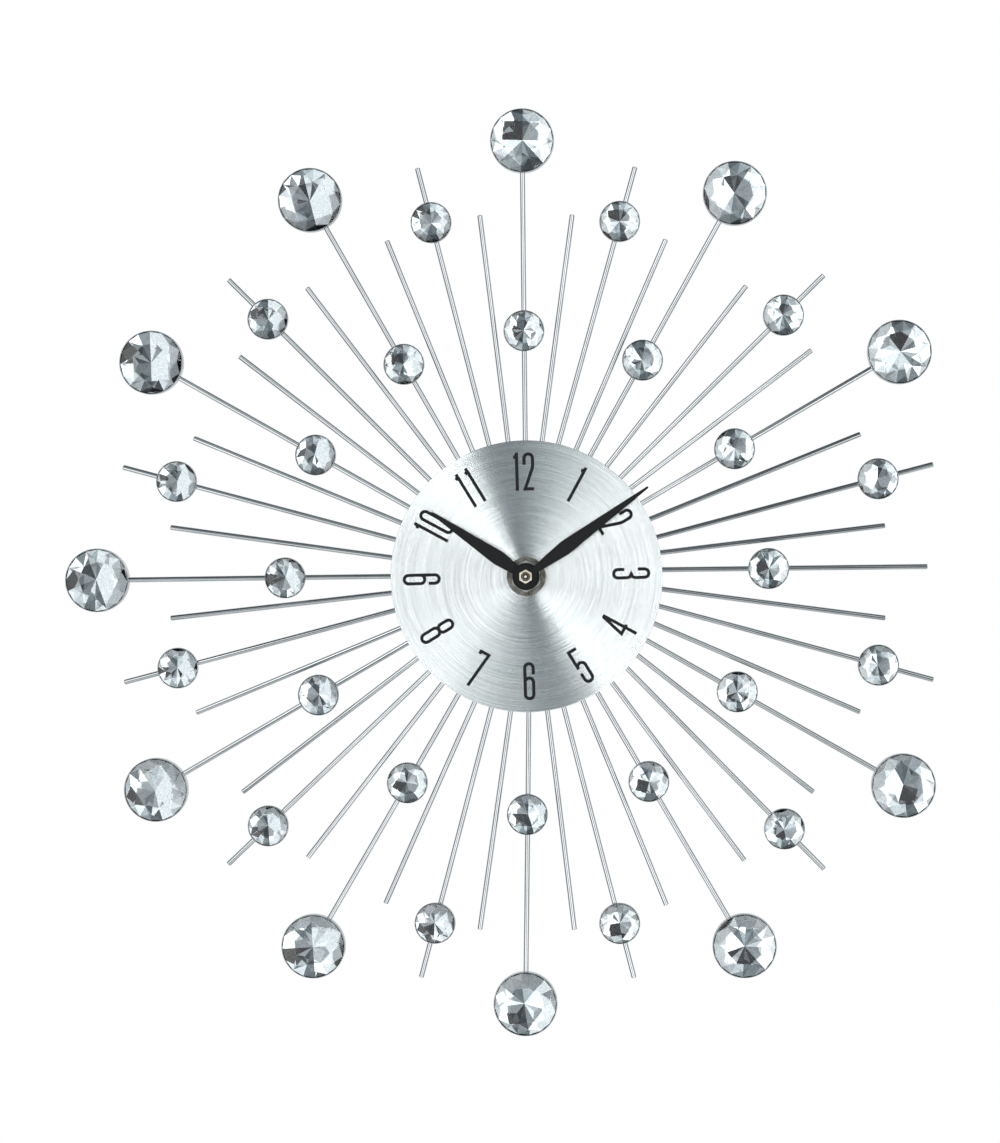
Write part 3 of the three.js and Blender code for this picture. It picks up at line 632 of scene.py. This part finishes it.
def make_jewel(name, place, size, crown, look):
    """A round brilliant: table, stars, kites and upper girdle facets in front, and a foiled pavilion of kites
    and lower girdle facets behind. Each is cut and set a little differently."""
    radius = size["radius"] - size["wall"] - JEWEL_CLEARANCE
    girdle_y = size["front"] + GIRDLE_BELOW_RIM
    main_radius, side_radius = radius * MAIN_PART, radius * SIDE_PART
    main_fall = math.tan(math.radians(MAIN_SLOPE))
    outer_fall = math.tan(math.radians(OUTER_SLOPE))
    depth = main_radius * main_fall + (radius - main_radius) * outer_fall
    spin = rng.uniform(0, 2 * math.pi / MAINS)
    play = radius * CUT_PLAY
    table_shift = Vector((rng.uniform(-play, play), rng.uniform(-play, play)))
    culet_shift = Vector((rng.uniform(-play, play), rng.uniform(-play, play)))
    tilt = Vector((rng.gauss(0, SEAT_TILT), rng.gauss(0, SEAT_TILT)))
    bm = bmesh.new()

    def vert(flat, y):
        return bm.verts.new(place + Vector((flat.x, y + flat.dot(tilt), flat.y)) * MM)

    def ring(count, ring_radius, y, turn, shift=Vector((0, 0))):
        verts = []
        for i in range(count):
            a = spin + turn + 2 * math.pi * i / count
            flat = Vector((ring_radius * math.sin(a), ring_radius * math.cos(a))) + shift
            verts.append(vert(flat, y + rng.gauss(0, play * HEIGHT_PLAY)))
        return verts

    half = math.pi / MAINS
    table_radius = radius * TABLE_PART
    table_y = girdle_y - crown
    kite_radius = radius * KITE_PART
    # a kite is flat, so its side corners lie on the plane through the table's corner and the girdle
    kite_y = table_y + crown * (kite_radius * math.cos(half) - table_radius) / (radius - table_radius)
    culet_y = girdle_y + GIRDLE + depth
    table = ring(MAINS, table_radius, table_y, 0, table_shift)
    stars = ring(MAINS, kite_radius, kite_y, half, table_shift * 0.5)
    top = ring(2 * MAINS, radius, girdle_y, 0)
    bottom = ring(2 * MAINS, radius, girdle_y + GIRDLE, 0)
    tips = ring(MAINS, main_radius, culet_y - main_radius * main_fall, 0, culet_shift)
    sides = ring(MAINS, side_radius, culet_y - side_radius * math.cos(half) * main_fall, half, culet_shift)
    culet = vert(culet_shift, culet_y)

    bm.faces.new(table)
    for i in range(MAINS):
        after = (i + 1) % MAINS
        wide = 2 * i
        next_wide = (wide + 2) % (2 * MAINS)
        clear = [
            (table[i], table[after], stars[i]),
            (table[i], stars[i], top[wide]),
            (table[i], top[wide], stars[i - 1]),
            (stars[i], top[wide], top[wide + 1]),
            (stars[i], top[wide + 1], top[next_wide]),
        ]
        foiled = [
            (culet, sides[i - 1], tips[i], sides[i]),
            (sides[i], tips[i], bottom[wide + 1]),
            (sides[i], bottom[wide + 1], tips[after]),
            (tips[i], bottom[wide], bottom[wide + 1]),
            (tips[after], bottom[wide + 1], bottom[next_wide]),
        ]
        for corners in clear:
            bm.faces.new(corners)
        for corners in foiled:
            bm.faces.new(corners).material_index = 1
    for i in range(2 * MAINS):
        after = (i + 1) % (2 * MAINS)
        bm.faces.new((top[i], top[after], bottom[after], bottom[i])).material_index = 1
    bmesh.ops.dissolve_limit(bm, angle_limit=math.radians(FLAT_EDGE), verts=bm.verts, edges=bm.edges,
                             delimit={"MATERIAL"})
    finish_piece("cut_" + name, bm, [look["acrylic"], look["foil"]], "clock", [name])


def make_jewels(look):
    for hour in range(1, HOURS + 1):
        long_ray = rays[hour * RAYS_PER_HOUR % RAYS]
        medium_ray = rays[(hour * RAYS_PER_HOUR + RAYS_PER_HOUR // 2) % RAYS]
        spots = [("inner", long_ray, INNER_CIRCLE, SMALL_SETTING, SMALL_CROWN),
                 ("outer", medium_ray, OUTER_CIRCLE, SMALL_SETTING, SMALL_CROWN)]
        if hour != BARE_HOUR:
            spots.append(("large", long_ray, LARGE_CIRCLE, LARGE_SETTING, LARGE_CROWN))
        for kind, ray, distance, size, crown in spots:
            place = ray.point(distance)
            make_setting(f"{kind}_setting_{hour}", place, size, look)
            make_jewel(f"{kind}_jewel_{hour}", place, size, crown, look)


# ---- Dial and numerals -------------------------------------------------------------------------------------


def make_dial(look):
    outer, back, front, edge = (DIAL[key] for key in ("radius", "back", "front", "edge"))
    back_edge = DIAL["back_edge"]
    rim = arc_points((outer - edge, front + edge), edge, 0, -90, steps=5)
    profile = [(ARBOR_HOLE, back), (outer - back_edge, back), (outer, back - back_edge)] + rim
    bm = bmesh.new()
    turned(bm, profile + [(ARBOR_HOLE, front)], DIAL["sides"])
    finish_piece("spun_dial", bm, [look["spun"]], "clock", ["dial"], smooth=60)


def end_arc(level, top):
    """The round end of a numeral: from its right over the top to its left, or from its left under the bottom
    to its right."""
    start = 0 if top else 180
    return arc_points((0, level), HALF_WIDTH, start, start + 180, steps=14)


def numeral_strokes(digit):
    """Centre lines of a digit's strokes as (points, closed), in a cell centred on the origin."""
    w, h = HALF_WIDTH, HALF_HEIGHT
    top, low = h - w, w - h
    overrun = STROKE / 2
    upper_curl = [(-w, top - HOOK)] + end_arc(top, True)[::-1]
    lower_curl = end_arc(low, False)[::-1] + [(-w, low + HOOK)]
    bowl_level = -0.4
    if digit == "0":
        return [(end_arc(top, True) + end_arc(low, False), True)]
    if digit == "1":
        flag = arc_points((-1.35, h + 0.45), 1.75, -72, -8, steps=6)
        return [([(0.35, h + overrun), (0.35, -h - overrun)], False), (flag, False)]
    if digit == "2":
        slope = [(w, 2.2), (w - 0.12, 1.2), (-w + 0.15, -h), (w + 0.3, -h)]
        return [(upper_curl + slope, False)]
    if digit == "3":
        waist = [(w, 1.3), (w * 0.8, 0.5), (0, 0), (w * 0.8, -0.5), (w, -1.3)]
        return [(upper_curl + waist + lower_curl, False)]
    if digit == "4":
        return [([(0.75, -h - overrun), (0.75, h + overrun)], False),
                ([(0.45, h + 0.4), (-1.9, -2.2), (1.85, -2.2)], False)]
    if digit == "5":
        bowl = arc_points((0, bowl_level), w, 180, 0, steps=12)
        return [([(w + 0.1, h), (-w, h), (-w, -0.6)], False), (bowl + lower_curl, False)]
    if digit == "6":
        stem = [(w, top - HOOK)] + end_arc(top, True) + end_arc(low, False)
        return [(stem + arc_points((0, bowl_level), w, 0, 180, steps=12), False)]
    if digit == "7":
        return [([(-w, h - 1.1), (-w, h), (w + 0.15, h), (0.05, -h - overrun)], False)]
    if digit == "8":
        neck = 0.75
        upper = end_arc(top, True) + end_arc(neck + w, False)
        lower = end_arc(neck - w, True) + end_arc(low, False)
        return [(upper, True), (lower, True)]
    return [([(-x, -z) for x, z in points], closed) for points, closed in numeral_strokes("6")]


def stroke_quads(points, closed, width):
    """The band round a centre line as four-cornered faces, with mitred corners."""
    count = len(points)
    sides = []
    for i in range(count):
        here = Vector(points[i])
        before = Vector(points[i - 1]) if i or closed else None
        after = Vector(points[(i + 1) % count]) if i < count - 1 or closed else None
        into = (here - before).normalized() if before is not None else None
        out = (after - here).normalized() if after is not None else None
        direction = (into or out) if into is None or out is None else (into + out).normalized()
        normal = Vector((-direction.y, direction.x))
        reach = width / 2
        if into is not None and out is not None:
            narrowing = max(normal.dot(Vector((-into.y, into.x))), MITRE_LIMIT)
            reach = min(reach / narrowing, width)
        sides.append((here + normal * reach, here - normal * reach))
    quads = []
    for i in range(count if closed else count - 1):
        after = (i + 1) % count
        quads.append((sides[i][1], sides[after][1], sides[after][0], sides[i][0]))
    return quads


def numeral_quads(hour):
    """The faces of one hour's numeral on the dial, as corners (x, z) in millimetres. From 9 over 12 to 3 the
    numerals' tops point outwards, from 4 to 8 inwards."""
    digits = str(hour)
    upright = 1 if hour <= 3 or hour >= 9 else -1
    angle = math.radians(360 / HOURS * hour + NUMERAL_TURN)
    outward = Vector((math.sin(angle), math.cos(angle)))
    right = Vector((outward.y, -outward.x)) * upright
    up = outward * upright
    centre = outward * NUMERAL_CIRCLE
    second = SECOND_ONE if digits[-1] == "1" else SECOND_DIGIT
    offsets = [0.0] if len(digits) == 1 else [FIRST_DIGIT, second]
    quads = []
    for digit, offset in zip(digits, offsets):
        for points, closed in numeral_strokes(digit):
            for quad in stroke_quads(points, closed, STROKE):
                quads.append([centre + right * (corner.x + offset) + up * corner.y for corner in quad])
    return quads


def make_numerals(look):
    """The printed hours. The strokes of a numeral overlap, so they are first joined into one flat sheet."""
    bm = bmesh.new()
    y = DIAL["front"] - INK
    for hour in range(1, HOURS + 1):
        quads = numeral_quads(hour)
        corners = [corner for quad in quads for corner in quad]
        faces = [list(range(start, start + 4)) for start in range(0, len(corners), 4)]
        # output type 1: the triangles inside the strokes
        flat, _, parts, _, _, sources = delaunay_2d_cdt(corners, [], faces, 1, SAME_POINT)
        verts = [bm.verts.new(Vector((v.x, y, v.y)) * MM) for v in flat]
        for part, source in zip(parts, sources):
            if source:
                bm.faces.new([verts[i] for i in part])
    sunk = bmesh.ops.extrude_face_region(bm, geom=bm.faces[:])
    moved = [v for v in sunk["geom"] if isinstance(v, bmesh.types.BMVert)]
    bmesh.ops.translate(bm, verts=moved, vec=(0, INK_SINK * MM, 0))
    loose = [v for v in bm.verts if not v.link_faces]
    bmesh.ops.delete(bm, geom=loose, context="VERTS")
    finish_piece("printed_numerals", bm, [look["ink"]], "clock")


# ---- CAD nodes that keep their shape -----------------------------------------------------------------------

# The look of each node that is shown as it comes from the CAD.
NODE_LOOKS = {
    "black_paint": ["hour_hand", "minute_hand"],
    "hand_nut": ["hand_nut"],
    "nut": ["bushing_nut"],
    "nickel": ["dial_washer"],
    "rubber": ["rubber_washer"],
    "black_plastic": ["movement_case", "back_cover"],
    "white_plastic": ["middle_plate", "hour_wheel", "motion_wheel", "third_wheel", "seconds_wheel",
                      "intermediate_wheel"],
    "pipe": ["centre_wheel"],
    "magnet": ["rotor"],
    "red_plastic": ["setting_knob"],
    "silicon_steel": ["stator"],
    "copper": ["coil"],
    "board": ["circuit_board"],
    "contact": ["positive_contact", "negative_contact"],
    "battery": ["battery"],
}

# Widths of the broken edges, and the angle in degrees from which an edge is sharp enough for one.
BEVELS = {"bushing_nut": 0.35, "hand_nut": 0.3, "dial_washer": 0.15, "minute_hand": 0.06, "hour_hand": 0.06}
SHARP = 25


def dress_nodes(look):
    for name, nodes in NODE_LOOKS.items():
        for node in nodes:
            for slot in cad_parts[node].material_slots:
                slot.link = "OBJECT"
                slot.material = look[name]
    for node, width in BEVELS.items():
        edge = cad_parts[node].modifiers.new("broken_edge", "BEVEL")
        edge.width = width * MM
        edge.segments = 2
        edge.limit_method = "ANGLE"
        edge.angle_limit = math.radians(SHARP)


# ---- Build -------------------------------------------------------------------------------------------------

bpy.context.scene.view_settings.view_transform = "Standard"
make_camera()
make_world()
make_floor()
for card in CARDS:
    make_card(*card)

look = make_materials()
make_rays(look)
make_hub_plate(look)
make_jewels(look)
make_dial(look)
make_numerals(look)
dress_nodes(look)
